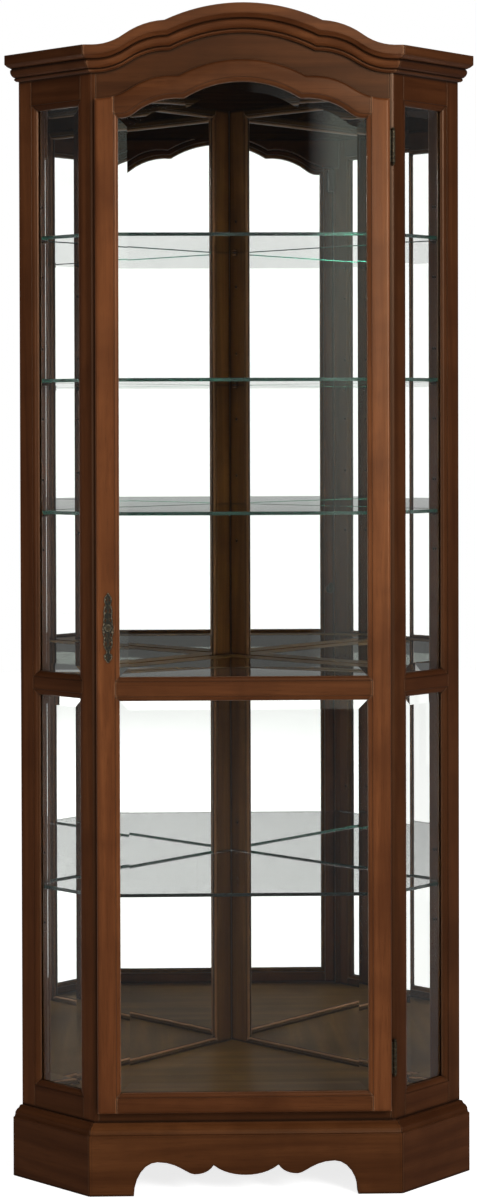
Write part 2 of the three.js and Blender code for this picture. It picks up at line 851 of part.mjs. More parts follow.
function addDoorFrame(door) {
  const envelope = doorEnvelope();
  const far = cutOverrun;
  const near = doorFront - cutOverrun;
  const top = doorTopEnd + doorTopArch.rise;
  const housings = Object.values(doorRailOutlines(0)).map((outline) => runBack(outline, near, far));
  const stile = (x0, x1) => {
    const slab = block(x0, x1, near, far, doorBottom - cutOverrun, top).intersect(envelope);
    return cut(slab, ...housings, ...doorCutters);
  };
  const lockHole = barAlongY(lockBodyRadius + jointGap, lockX, lockZ, near, far, barrelSides * 2);
  const leftStile = cut(stile(-doorHalf, -doorGlassHalf), lockHole);
  add(door, "door_left_stile", leftStile, cherry);
  const pockets = [upperHingeZ, lowerHingeZ].map((z) => {
    const reach = hingeHeight / 2 + jointGap;
    const inner = hingeAxisX - leafWidth - doorShift - jointGap;
    const deep = -doorGap - jointGap * 2 - leafThickness;
    return block(inner, doorHalf + cutOverrun, deep, cutOverrun, z - reach, z + reach);
  });
  const rightStile = cut(stile(doorGlassHalf, doorHalf), ...pockets);
  add(door, "door_right_stile", rightStile, cherry);
  for (const [place, outline] of Object.entries(doorRailOutlines(jointGap))) {
    const rail = cut(runBack(outline, near, far).intersect(envelope), ...doorCutters);
    add(door, `door_${place}_rail`, rail, cherry);
  }
  const paneY = doorFront + doorMouldDepth + lip + jointGap;
  add(door, "door_lower_glass", bevelledPane(doorWindows[0], paneY), clearGlass);
  add(door, "door_upper_glass", bevelledPane(doorWindows[1], paneY), clearGlass);
}

// Hinges

const knuckleHeight = hingeHeight / knuckleCount;
const caseLeafFront = -leafSeat - leafThickness;
const doorLeafFront = caseLeafFront - leafGap - leafThickness;

// A leaf with its own knuckles, centred on the hinge pin's height; first is 0 or 1.
function hingeLeaf(first, inner, near) {
  const clear = barrelRadius + jointGap * 2;
  const half = hingeHeight / 2;
  const plate = block(inner, -clear, near, near + leafThickness, -half, half);
  const pieces = [];
  for (let i = first; i < knuckleCount; i += 2) {
    const low = -half + knuckleHeight * i + (i ? knuckleGap / 2 : 0);
    const high = -half + knuckleHeight * (i + 1) - (i + 1 < knuckleCount ? knuckleGap / 2 : 0);
    const barrel = new THREE.CylinderGeometry(barrelRadius, barrelRadius, high - low, barrelSides);
    barrel.rotateX(Math.PI / 2).translate(0, hingeAxisY, (low + high) / 2);
    const neck = block(-clear - cutOverrun, -cutOverrun, near, near + leafThickness, low, high);
    pieces.push(solidOf(barrel), neck);
  }
  const wall = hingePinRadius + runningGap;
  const bore = new THREE.CylinderGeometry(wall, wall, hingeHeight * 2, barrelSides);
  bore.rotateX(Math.PI / 2).translate(0, hingeAxisY, 0);
  return cut(joined(plate, ...pieces), solidOf(bore));
}

// The loose pin, turned to a small acorn at each end, as shares of the tip's radius and length.
const tipShares = [
  [0.85, 0],
  [1, 0.14],
  [0.62, 0.3],
  [0.9, 0.55],
  [0.72, 0.8],
];

function hingePin() {
  const shoulder = hingeHeight / 2 + leafSeat;
  const upper = tipShares.map(([out, up]) => [tipRadius * out, shoulder + tipLength * up]);
  const half = [[hingePinRadius, shoulder], ...upper, [0, shoulder + tipLength]];
  const lower = half.toReversed().map(([radius, z]) => [radius, -z]);
  const profile = [...lower, ...half].map(([radius, z]) => new THREE.Vector2(radius, z));
  const pin = new THREE.LatheGeometry(profile, barrelSides);
  return solidOf(pin.rotateX(Math.PI / 2).translate(0, hingeAxisY, 0));
}

// Lock, its pierced plate, and the catch

// Right edge of the plate from its lower tip to its upper one, in shares of half its size.
const plateShares = [
  [0, -1],
  [0.3, -0.93],
  [0.18, -0.86],
  [0.55, -0.79],
  [0.82, -0.66],
  [0.5, -0.53],
  [0.42, -0.45],
  [0.8, -0.36],
  [1, -0.19],
  [0.86, 0],
];

// Piercings above and below the lock, in shares: how far off the middle, how high, half sizes.
const pierceShares = [
  [0, 0.63, 0.34, 0.07],
  [0.52, 0.27, 0.17, 0.055],
  [-0.52, 0.27, 0.17, 0.055],
  [0, 0.4, 0.13, 0.05],
];

function lockPlate() {
  const lower = plateShares.map(([a, b]) => new THREE.Vector2(a, b));
  const upper = lower.slice(0, -1).map((point) => new THREE.Vector2(point.x, -point.y));
  const edge = new THREE.SplineCurve([...lower, ...upper.toReversed()]);
  const right = edge.getPoints(plateShares.length * plateSteps).slice(1, -1);
  const scaled = (a, b) => [(a * plateWidth) / 2, (b * plateHeight) / 2];
  const ends = [scaled(0, -1), scaled(0, 1)];
  const rightPoints = right.map((point) => scaled(point.x, point.y));
  const leftPoints = rightPoints.toReversed().map(([x, z]) => [-x, z]);
  const shape = shapeOf([ends[0], ...rightPoints, ends[1], ...leftPoints]);
  const pierce = (x, z, halfWide, halfHigh) => {
    const hole = new THREE.Path();
    hole.absellipse(x, z, halfWide, halfHigh, 0, Math.PI * 2);
    shape.holes.push(hole);
  };
  pierce(0, 0, plugRadius + jointGap, plugRadius + jointGap);
  for (const [across, up, wide, high] of pierceShares) {
    const [x, z] = scaled(across, up);
    const [halfWide, halfHigh] = scaled(wide, high);
    pierce(x, z, halfWide, halfHigh);
    pierce(x, -z, halfWide, halfHigh);
  }
  return runBack(shape, doorFront - plateThickness, doorFront);
}

function lockBody() {
  const outer = barAlongY(lockBodyRadius, 0, 0, doorFront, -doorGap, barrelSides * 2);
  const bore = plugRadius + runningGap;
  return cut(outer, barAlongY(bore, 0, 0, doorFront - cutOverrun, 0, barrelSides));
}

// The turning plug with its keyway, and the cam that reaches behind the post when locked.
function lockPlug() {
  const nose = doorFront - plateThickness - cutOverrun / 2;
  const camFront = frameThickness + camClearance;
  const camBack = camFront + camThickness;
  const spindle = barAlongY(plugRadius, 0, 0, nose, camBack, barrelSides);
  const halfWide = camWidth / 2;
  const arm = block(-halfWide, halfWide, camFront, camBack, 0, camLength - halfWide);
  const tip = barAlongY(halfWide, 0, camLength - halfWide, camFront, camBack, barrelSides);
  const hub = barAlongY(halfWide, 0, 0, camFront, camBack, barrelSides);
  const halfKey = keywayHeight / 2;
  const keyway = block(
    -keywayWidth / 2,
    keywayWidth / 2,
    nose - cutOverrun,
    nose + keywayDepth,
    -halfKey,
    halfKey,
  );
  return cut(joined(spindle, arm, tip, hub), keyway);
}

// The magnetic catch on the end of the front post's leg.
function doorCatch() {
  const outer = jointGap - postOpening;
  const low = -catchHeight / 2;
  const high = catchHeight / 2;
  const back = catchDepth - catchFace;
  const body = block(outer, outer + catchWidth, -catchFace, back, low, high);
  const middle = outer + catchWidth / 2;
  const slot = catchNotch / 2;
  const inner = catchHeight / 4;
  const groove = block(middle - slot, middle + slot, -catchFace - cutOverrun, catchNotch, -inner, inner);
  return cut(body, groove);
}

function catchStrike() {
  const middle = jointGap - postOpening + catchWidth / 2 - doorShift;
  const halfWide = strikeWidth / 2;
  const halfHigh = strikeHeight / 2;
  const near = -doorGap;
  const far = near + strikeThickness;
  return block(middle - halfWide, middle + halfWide, near, far, -halfHigh, halfHigh);
}

// Whole cabinet

const cabinet = new THREE.Group();
cabinet.name = "corner_curio_cabinet";
const row = new THREE.Group();
row.name = "case";
cabinet.add(row);

add(row, "deck_panel", floorPanel(deckTop - panelThickness, deckTop), cherry);
add(row, "top_panel", floorPanel(ceilingBottom, ceilingBottom + panelThickness), cherry);
addMiddleShelf(row);
for (const [name, top] of [
  ["glass_shelf_lower", shelfTops[0]],
  ["glass_shelf_first", shelfTops[1]],
  ["glass_shelf_second", shelfTops[2]],
  ["glass_shelf_third", shelfTops[3]],
]) {
  add(row, name, glassShelf(top), clearGlass);
}

for (const hand of ["left", "right"]) {
  const mirrored = new THREE.Group();
  mirrored.name = `${hand}_half`;
  mirrored.scale.x = hand === "left" ? -1 : 1;
  const side = sideFrame(hand);
  side.position.x = halfFront;
  side.rotation.z = eighthTurn;
  add(side, `crown_${hand}`, sideRun45(crownSection, crownBottomEnd), paleCherry);
  add(side, `base_${hand}`, sideRun45(baseSection, 0), cherry);
  const wall = wallFrame(hand, hand === "right");
  wall.position.y = backCornerY;
  wall.rotation.z = -eighthTurn;
  mirrored.add(side, wall);
  row.add(mirrored);
}

add(row, "frieze_board", friezeBoard(), cherry);
const railReach = postJoint - jointGap;
const sill = block(-railReach, railReach, 0, frameThickness, frontRailBottom, deckTop);
add(row, "front_bottom_rail", sill, cherry);
add(row, "crown_front", crownFront(), paleCherry);
add(row, "base_front", baseFront(), cherry);

const door = new THREE.Group();
door.name = "door";
door.position.x = doorShift;
addDoorFrame(door);
row.add(door);

const caseLeafInner = -caseLeafWidth;
for (const [place, z] of [
  ["upper", upperHingeZ],
  ["lower", lowerHingeZ],
]) {
  const hinge = new THREE.Group();
  hinge.name = `${place}_hinge`;
  hinge.position.set(hingeAxisX, 0, z);
  const caseLeaf = hingeLeaf(0, caseLeafInner, caseLeafFront);
  add(hinge, `${place}_hinge_case_leaf`, caseLeaf, oldBrass);
  add(hinge, `${place}_hinge_door_leaf`, hingeLeaf(1, -leafWidth, doorLeafFront), oldBrass);
  add(hinge, `${place}_hinge_pin`, hingePin(), oldBrass);
  row.add(hinge);
}

const lock = new THREE.Group();
lock.name = "lock";
lock.position.set(lockX, 0, lockZ);
add(lock, "lock_escutcheon", lockPlate(), oldBrass);
add(lock, "lock_body", lockBody(), oldBrass);
add(lock, "lock_plug", lockPlug(), oldBrass);
door.add(lock);

const keep = add(row, "door_catch", doorCatch(), steel);
keep.position.z = catchZ;
const strike = add(door, "catch_strike", catchStrike(), steel);
strike.position.z = catchZ;

// The middle of the footprint becomes the origin.
row.position.y = (crownOverhang - backCornerY) / 2;

export default cabinet;
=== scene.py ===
# Corner curio cabinet in dark cherry: a glazed door and two glazed sides in front of a mirrored
# corner, with an arched crown, glass shelves and a scalloped base. Metres, +Z up, and -Y points
# out of the door.
import json
import math
import bmesh
import bpy
from mathutils import Matrix, Vector
from mathutils.bvhtree import BVHTree

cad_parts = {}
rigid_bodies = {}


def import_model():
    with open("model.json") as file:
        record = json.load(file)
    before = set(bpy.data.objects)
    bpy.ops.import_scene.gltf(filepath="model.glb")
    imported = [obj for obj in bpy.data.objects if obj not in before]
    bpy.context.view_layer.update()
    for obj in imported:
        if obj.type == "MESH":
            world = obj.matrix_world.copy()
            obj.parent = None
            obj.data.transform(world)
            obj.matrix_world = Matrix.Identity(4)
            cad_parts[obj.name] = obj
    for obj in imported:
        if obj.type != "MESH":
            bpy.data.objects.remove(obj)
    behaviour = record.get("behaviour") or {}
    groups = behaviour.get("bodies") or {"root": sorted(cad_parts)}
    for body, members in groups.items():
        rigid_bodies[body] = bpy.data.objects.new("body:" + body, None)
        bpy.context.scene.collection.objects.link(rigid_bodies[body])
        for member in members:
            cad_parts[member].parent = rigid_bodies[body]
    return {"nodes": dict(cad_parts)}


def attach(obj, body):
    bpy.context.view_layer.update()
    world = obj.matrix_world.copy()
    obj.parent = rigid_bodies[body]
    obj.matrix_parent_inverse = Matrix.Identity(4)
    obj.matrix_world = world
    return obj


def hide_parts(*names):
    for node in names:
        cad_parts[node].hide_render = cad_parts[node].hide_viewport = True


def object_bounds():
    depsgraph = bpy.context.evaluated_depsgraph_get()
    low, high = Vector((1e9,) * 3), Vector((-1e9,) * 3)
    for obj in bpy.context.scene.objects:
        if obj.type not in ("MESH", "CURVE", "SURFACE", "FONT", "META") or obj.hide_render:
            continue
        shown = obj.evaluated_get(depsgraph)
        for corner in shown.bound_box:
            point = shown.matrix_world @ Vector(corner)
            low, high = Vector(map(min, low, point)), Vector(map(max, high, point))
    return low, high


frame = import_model()
cad_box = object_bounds()
floor_level = cad_box[0][2]

# The photographer's place: a long lens about four and a half metres off, a little to the left of
# the door's middle and at chest height, with the film shifted so that the uprights stay upright.
camera_data = bpy.data.cameras.new("camera")
camera_data.lens = 78.2
camera_data.sensor_width = 36
camera_data.shift_x = 0.0527
camera_data.shift_y = -0.1193
camera = bpy.data.objects.new("camera", camera_data)
bpy.context.scene.collection.objects.link(camera)
bpy.context.scene.camera = camera
yaw, pitch, roll = 0.027, -0.0129, -0.003
right = Vector((math.cos(yaw), -math.sin(yaw), 0))
ahead = Vector((math.sin(yaw), math.cos(yaw), 0))
level_up = Vector((0, 0, 1))
up = level_up * math.cos(pitch) - ahead * math.sin(pitch)
ahead = ahead * math.cos(pitch) + level_up * math.sin(pitch)
right, up = (right * math.cos(roll) + up * math.sin(roll),
             up * math.cos(roll) - right * math.sin(roll))
camera.matrix_world = Matrix.Translation((-0.2343, -4.6348, 1.3027)) @ Matrix(
    (right, up, -ahead)).transposed().to_4x4()


# The studio: a pale floor and a white surround, lit by two broad soft lamps. The white belongs to
# the floor and the surround, so that the glass and the mirrors show it as the photograph does.
class Reading:
    """What one socket of a finish gives; arithmetic on it adds Math nodes."""

    def __init__(self, finish, socket):
        self.finish, self.socket = finish, socket

    def worked(self, operation, *values):
        return self.finish.node("ShaderNodeMath", {"operation": operation}, *values)

    def __add__(self, other): return self.worked("ADD", self, other)
    def __radd__(self, other): return self.worked("ADD", other, self)
    def __sub__(self, other): return self.worked("SUBTRACT", self, other)
    def __rsub__(self, other): return self.worked("SUBTRACT", other, self)
    def __mul__(self, other): return self.worked("MULTIPLY", self, other)
    def __rmul__(self, other): return self.worked("MULTIPLY", other, self)
    def __truediv__(self, other): return self.worked("DIVIDE", self, other)
    def __pow__(self, other): return self.worked("POWER", self, other)

    def limited(self):
        return self.worked("MINIMUM", self.worked("MAXIMUM", self, 0.0), 1.0)


class Finish:
    """A material or a world being mixed; node() adds any node and returns its reading."""

    def __init__(self, name, world=None):
        self.material = world or bpy.data.materials.new(name)
        self.material.use_nodes = True
        self.tree = self.material.node_tree
        self.tree.nodes.clear()

    def feed(self, socket, value):
        if isinstance(value, Reading):
            self.tree.links.new(value.socket, socket)
        elif value is not None:
            socket.default_value = value

    def node(self, kind, settings=None, *values, out=0, **named):
        made = self.tree.nodes.new(kind)
        for key, value in (settings or {}).items():
            if key == "stops":
                ramp = made.color_ramp
                while len(ramp.elements) < len(value):
                    ramp.elements.new(0.5)
                for element, (place, colour) in zip(ramp.elements, value):
                    element.position = place
                    element.color = (*colour, 1)
            else:
                setattr(made, key, value)
        for socket, value in zip(made.inputs, values):
            self.feed(socket, value)
        for key, value in named.items():
            self.feed(made.inputs[key.replace("_", " ")], value)
        return Reading(self, made.outputs[out])

    def mixed(self, share, first, second, blend="MIX"):
        made = self.tree.nodes.new("ShaderNodeMix")
        made.data_type, made.blend_type = "RGBA", blend
        self.feed(made.inputs[0], share)
        self.feed(made.inputs[6], first if isinstance(first, Reading) else (*first, 1))
        self.feed(made.inputs[7], second if isinstance(second, Reading) else (*second, 1))
        return Reading(self, made.outputs[2])

    def surface(self, reading, output="ShaderNodeOutputMaterial"):
        output = self.tree.nodes.new(output)
        self.tree.links.new(reading.socket, output.inputs["Surface"])
        return self.material


# How much of the mirrored white is left with the door open, how much a pane's loss is made good,
# and how much of the room a surface shows by its own gloss.
open_door, made_good, own_gloss = 0.14, 0.28, 0.07


def white_surround(finish, forward, room, front, falling):
    """How bright the surround is along a ray. It is white seen straight, in one mirror towards
    the sides and in both towards the front, where forward is 1. Any other gloss shows the room,
    or the unlit front where it comes straight off a pane, and falling lights the object."""
    path = finish.tree.nodes.new("ShaderNodeLightPath")
    through, crossed, bounced, scattered = (Reading(finish, path.outputs[name]) for name in (
        "Is Transmission Ray", "Transmission Depth", "Glossy Depth", "Diffuse Depth"))
    scattered, glossy, again = scattered.limited(), bounced.limited(), (bounced - 1.0).limited()
    off = finish.node("ShaderNodeMath", {"operation": "ABSOLUTE"}, bounced - forward - 1.0)
    inside = (through * open_door + (crossed - 2.0).limited() + again).limited()
    mirrored = (1.0 - off).limited() * inside
    white_share = 1.0 + through * made_good
    off_front = forward * (1.0 - again)
    shown = own_gloss + inside * (1.0 - own_gloss)
    other = off_front * front + (1.0 - off_front) * room * shown
    seen = (1.0 - glossy) * white_share + glossy * (
        mirrored * white_share + (1.0 - mirrored) * other)
    return seen * (1.0 - scattered) + scattered * falling


floor_finish = Finish("studio_floor")
paint = floor_finish.node("ShaderNodeBsdfPrincipled", None, Base_Color=(0.86, 0.86, 0.86, 1),
                          Roughness=0.9, Specular_IOR_Level=0.1)
glow = floor_finish.node("ShaderNodeEmission", None, Color=(1, 1, 1, 1), Strength=0.80)
lit_floor = floor_finish.node("ShaderNodeAddShader", None, paint, glow)
dull_floor = floor_finish.node("ShaderNodeEmission", None, Color=(0, 0, 0, 1))
floor_place = floor_finish.node("ShaderNodeTexCoord", None, out=3)
aside = floor_finish.node("ShaderNodeMath", {"operation": "ABSOLUTE"}, floor_finish.node(
    "ShaderNodeSeparateXYZ", None, floor_place))
floor_depth = floor_finish.node("ShaderNodeSeparateXYZ", None, floor_place, out=1)
in_front = floor_finish.node("ShaderNodeMapRange", None, floor_depth + aside * 0.35,
                             -0.70, -0.45, 1.0, 0.0)
scattering = floor_finish.node("ShaderNodeLightPath", None, out=10)
floor_finish.surface(floor_finish.node(
    "ShaderNodeMixShader", None, white_surround(floor_finish, in_front, 1.0, 0.11, 0.0),
    floor_finish.node("ShaderNodeMixShader", None, scattering.limited(), dull_floor, paint),
    lit_floor))
floor_mesh = bpy.data.meshes.new("studio_floor")
floor_half, under_feet = 9.0, 0.0005
floor_mesh.from_pydata([(-floor_half, -floor_half, 0), (floor_half, -floor_half, 0),
                        (floor_half, floor_half, 0), (-floor_half, floor_half, 0)],
                       [], [(0, 1, 2, 3)])
floor_mesh.materials.append(floor_finish.material)
floor = bpy.data.objects.new("studio_floor", floor_mesh)
bpy.context.scene.collection.objects.link(floor)
floor.location.z = floor_level - under_feet

world = bpy.data.worlds.new("studio")
bpy.context.scene.world = world
surround = Finish("studio", world)
direction = surround.node("ShaderNodeTexCoord")
depthwise = surround.node("ShaderNodeSeparateXYZ", None, direction, out=1)
in_front = surround.node("ShaderNodeMapRange", None, depthwise, -0.65, -0.22, 1.0, 0.0)
upright = surround.node("ShaderNodeSeparateXYZ", None, direction, out=2)
dim_above = surround.node("ShaderNodeMapRange", None, upright, -0.01, 0.06, 1.0, 0.12)
# To the right behind the photographer hangs a pale cloth, which shows as a veil in the door glass.
across = surround.node("ShaderNodeSeparateXYZ", None, direction)
cloth = (in_front * surround.node("ShaderNodeMapRange", None, across, 0.0775, 0.0875, 0.0, 1.0)
         * surround.node("ShaderNodeMapRange", None, across, 0.45, 0.60, 1.0, 0.0)
         * surround.node("ShaderNodeMapRange", None, upright, -0.16, 0.06, 0.25, 1.0)
         * surround.node("ShaderNodeMapRange", None, upright, 0.20, 0.32, 1.0, 0.0))
white = surround.node("ShaderNodeBackground", None,
                      surround.mixed(cloth, (1, 1, 1), (0.92, 1.0, 0.88)),
                      white_surround(surround, in_front, dim_above, 0.03 + cloth * 0.97, 0.26))
surround.surface(white, "ShaderNodeOutputWorld")

lamps_aim = Vector((0, 0, 1.0))
for name, place, size, power in (
    ("key_lamp", (2.5, -4.8, 2.9), 1.7, 165),
    ("fill_lamp", (-3.2, -4.0, 1.4), 2.2, 30),
):
    lamp_data = bpy.data.lights.new(name, "AREA")
    lamp_data.shape = "SQUARE"
    lamp_data.size = size
    lamp_data.energy = power
    lamp = bpy.data.objects.new(name, lamp_data)
    bpy.context.scene.collection.objects.link(lamp)
    lamp.location = place
    lamp.rotation_euler = (lamps_aim - Vector(place)).to_track_quat("-Z", "Y").to_euler()

bpy.context.scene.view_settings.view_transform = "Standard"


# The case: posts, rails and panels of cherry, glued up, stained dark and lacquered to a satin. The
# grain runs along each member. Quirks and gaps carry painted shade, partly a brown glaze, and each
# arris a painted dark line beside it and a painted highlight on it, partly wear.
grain_drawn = 0.955  # how much of its length along the member the figure loses
glaze_and_shade_reach, arris_reach = 0.006, 0.0052  # how far the glaze and painted shade, and the wear and painted highlight, spread from an edge
shade_line_openness = 0.84  # the openness inside an arris where a painted line of shade is drawn dark


def stained_cherry(name, along, tone=1.0, gloss=0.34, satin=0.27, olive=1.0, wear_and_highlight=0.4):
    """Cherry with its grain along one direction. tone is how light the piece is painted: its stain
    and, for some pieces, painted light and shade; olive is how far its colour is painted from red
    towards olive, as shade inside the case; and the last argument is how bright its arrises are
    painted, partly wear and partly a painted highlight."""
    finish = Finish(name)
    place = finish.node("ShaderNodeTexCoord", None, out=3)
    along = Vector(along).normalized()
    run = finish.node("ShaderNodeVectorMath", {"operation": "DOT_PRODUCT"}, place, along, out=1)
    drawn = finish.node("ShaderNodeVectorMath", {"operation": "SCALE"}, along,
                        Scale=run * -grain_drawn)
    grain_place = finish.node("ShaderNodeVectorMath", {"operation": "ADD"}, place, drawn)
    figure = finish.node("ShaderNodeTexNoise", None, Vector=grain_place, Scale=34.0,
                         Detail=6.0, Roughness=0.62, Distortion=0.5)
    pores = finish.node("ShaderNodeTexNoise", None, Vector=grain_place, Scale=520.0,
                        Detail=3.0, Roughness=0.7)
    cloud = finish.node("ShaderNodeTexNoise", None, Vector=place, Scale=9.0, Detail=3.0,
                        Roughness=0.55)
    light, middle, dark = ((red * tone, green * tone * olive, blue * tone)
                           for red, green, blue in (
        (0.222, 0.073, 0.0235), (0.146, 0.0455, 0.0143), (0.082, 0.0232, 0.0072)))
    stain = finish.node("ShaderNodeValToRGB", {"stops": (
        (0.30, dark), (0.50, middle), (0.70, light))}, figure)
    open_grain = ((pores - 0.55) * 6.0).limited()
    coloured = finish.mixed(open_grain * 0.38, stain, [channel * 0.35 for channel in dark])
    coloured = finish.mixed(((cloud - 0.46) * 4.2).limited() * 0.60, coloured, dark)
    # Painted shade: where occlusion finds a hollow close by, the colour goes nearly black. This is
    # partly a brown glaze in the quirks and partly the shade in them and in the gaps between parts.
    hollow = finish.node("ShaderNodeAmbientOcclusion", {"samples": 8}, out=1,
                         Distance=glaze_and_shade_reach)
    glaze_and_shade = ((0.92 - hollow) * 4.4).limited()
    coloured = finish.mixed(glaze_and_shade * 0.90, coloured, (0.010, 0.0042, 0.0022))
    arris = finish.node("ShaderNodeAmbientOcclusion", {"samples": 10, "inside": True}, out=1,
                        Distance=arris_reach)
    # A painted dark line of shade, a little way inside each arris.
    off_shade_line = finish.node("ShaderNodeMath", {"operation": "ABSOLUTE"}, arris - shade_line_openness)
    coloured = finish.mixed((1.0 - off_shade_line * 9.0).limited() * 0.55, coloured,
                            [channel * 0.45 for channel in dark])
    # A painted highlight on each arris, partly wear: the colour goes pale where the piece is thin
    # at an edge.
    rubbed_and_highlit = ((0.70 - arris) * 5.0).limited() * (1.0 - glaze_and_shade)
    coloured = finish.mixed(rubbed_and_highlit * wear_and_highlight, coloured, [channel * (0.45 + tone * 0.55)
                                                      for channel in (0.36, 0.19, 0.10)])
    bump = finish.node("ShaderNodeBump", None, Strength=0.10, Distance=0.0004,
                       Height=1.0 - open_grain)
    return finish.surface(finish.node(
        "ShaderNodeBsdfPrincipled", None, Base_Color=coloured,
        Roughness=satin + cloud * 0.10, Normal=bump, Specular_IOR_Level=gloss,
        Specular_Tint=(1.0, 0.64, 0.42, 1)))


weld, flat_enough = 0.000004, 0.6  # metres and degrees


def worked_copy(node, finish, body, round_over=0.0005, crease=32):
    """A clean copy of a CAD piece, its curves smoothed and its arrises taken off."""
    mesh = bpy.data.meshes.new(node + "_made")
    piece = bpy.data.objects.new(node + "_made", mesh)
    bpy.context.scene.collection.objects.link(piece)
    form = bmesh.new()
    form.from_mesh(frame["nodes"][node].data)
    bmesh.ops.remove_doubles(form, verts=form.verts, dist=weld)
    bmesh.ops.dissolve_limit(form, angle_limit=math.radians(flat_enough), verts=form.verts,
                             edges=form.edges)
    for face in form.faces:
        face.smooth = True
        face.material_index = 0
    for edge in form.edges:
        edge.smooth = edge.calc_face_angle(0.0) < math.radians(crease)
    form.to_mesh(mesh)
    form.free()
    mesh.materials.append(finish)
    if round_over:
        arris = piece.modifiers.new("arris", "BEVEL")
        arris.width = round_over
        arris.segments = 2
        arris.limit_method = "ANGLE"
        arris.angle_limit = math.radians(crease + 8)
        arris.use_clamp_overlap = False
        arris.harden_normals = True
        ready = piece.evaluated_get(bpy.context.evaluated_depsgraph_get())
        piece.data = bpy.data.meshes.new_from_object(ready)
        piece.modifiers.clear()
        drawn = BVHTree.FromPolygons([vertex.co for vertex in mesh.vertices],
                                     [face.vertices for face in mesh.polygons])
        for vertex in piece.data.vertices:  # a corner thrown off its joint goes back to it
            near, _, _, away = drawn.find_nearest(vertex.co)
            if away > round_over:
                vertex.co = near
    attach(piece, body)
    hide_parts(node)
    return piece


turn = math.sqrt(0.5)
lengthwise = {"right": (turn, turn, 0), "left": (-turn, turn, 0)}
wallwise = {"right": (turn, -turn, 0), "left": (-turn, -turn, 0)}
# The left and right posts and sides are lit and shaded copies of one cherry: their different tones
# are painted light and shade.
post_wood = {hand: stained_cherry(f"cherry_{hand}_posts", (0, 0, 1), tone)
             for hand, tone in (("left", 0.56), ("right", 0.42))}
# The inner pieces are painted darker and more olive than the outside as the shade inside the case,
# and the ceiling's very low tone is painted shade.
inner_upright = stained_cherry("cherry_back_stiles", (0, 0, 1), 0.70, 0.18, 0.27, 1.3)
inner_across = stained_cherry("cherry_shelf_and_panels", (1, 0, 0), 0.72, 0.13, 0.27, 1.6)
ceiling_wood = stained_cherry("cherry_ceiling", (1, 0, 0), 0.10, 0.0, 0.62, 1.2)
frieze_wood = stained_cherry("cherry_frieze", (1, 0, 0), 0.44)
crown_wood = stained_cherry("cherry_crown", (1, 0, 0), 0.80, 0.42, 0.27, 1.0, 0.25)
base_wood = stained_cherry("cherry_base", (1, 0, 0), 0.64, 0.34, 0.27, 1.05, 0.0)
side_wood = {hand: stained_cherry(f"cherry_{hand}_side", lengthwise[hand], tone, wear_and_highlight=0.1)
             for hand, tone in (("left", 0.36), ("right", 0.44))}
wall_wood = {hand: stained_cherry(f"cherry_{hand}_wall", wallwise[hand], 0.36, 0.16, 0.27, 1.5, 1.0)
             for hand in wallwise}

for hand in ("left", "right"):
    for node in (f"front_{hand}_post", f"rear_{hand}_post"):
        worked_copy(node, post_wood[hand], "case")
    worked_copy(f"back_{hand}_stile", inner_upright, "case")
    for place in ("top", "middle", "bottom"):
        worked_copy(f"{hand}_side_{place}_rail", side_wood[hand], "case")
    for place in ("top", "bottom"):
        worked_copy(f"back_{hand}_{place}_rail", wall_wood[hand], "case")
    worked_copy(f"crown_{hand}", side_wood[hand], "case", 0.0008)
    worked_copy(f"base_{hand}", side_wood[hand], "case", 0.0008)
    worked_copy(f"base_back_{hand}", wall_wood[hand], "case")
for node in ("deck_panel", "middle_shelf_frame"):
    worked_copy(node, inner_across, "case")
worked_copy("top_panel", ceiling_wood, "case")
for node in ("frieze_board", "front_bottom_rail"):
    worked_copy(node, frieze_wood, "case")
worked_copy("crown_front", crown_wood, "case", 0.0008)
worked_copy("base_front", base_wood, "case", 0.0008)

# The door: two stiles, an arched head, a middle rail and a bottom rail, mitred at the moulding.
stile_wood = stained_cherry("cherry_door_stiles", (0, 0, 1), 1.0, wear_and_highlight=0.75)
rail_wood = {place: stained_cherry(f"cherry_door_{place}_rail", (1, 0, 0), tone, wear_and_highlight=0.65)
             for place, tone in (("top", 0.56), ("middle", 0.61), ("bottom", 0.63))}
for hand in ("left", "right"):
    worked_copy(f"door_{hand}_stile", stile_wood, "door")
for place in ("top", "middle", "bottom"):
    worked_copy(f"door_{place}_rail", rail_wood[place], "door")

# The glass: 4 mm float glass, bevelled where it is framed, and 6 mm shelves with ground edges.
# A little dust dulls it in clouds, and the long way through an edge shows the green of the iron.
def float_glass(name, tint, roughness=0.0, dust=0.012):
    finish = Finish(name)
    cloud = finish.node("ShaderNodeTexNoise", None, finish.node("ShaderNodeTexCoord", None, out=3),
                        Scale=11.0, Detail=4.0, Roughness=0.6)
    haze = ((cloud - 0.52) * 4.0).limited()
    clear = finish.node("ShaderNodeBsdfPrincipled", None,
                        Base_Color=finish.mixed(haze, tint, [0.985 * part for part in tint]),
                        Roughness=roughness + haze * dust, IOR=1.5, Transmission_Weight=1.0)
    open_to_light = finish.node("ShaderNodeBsdfTransparent", None, Color=(0.68, 0.70, 0.69, 1))
    lamp_ray = finish.node("ShaderNodeLightPath", None, out=1)
    return finish.surface(finish.node("ShaderNodeMixShader", None, lamp_ray, clear,
                                      open_to_light))


pane_glass = float_glass("pane_glass", (0.990, 0.998, 0.986))
shelf_glass = float_glass("shelf_glass", (0.99, 0.997, 1.0))
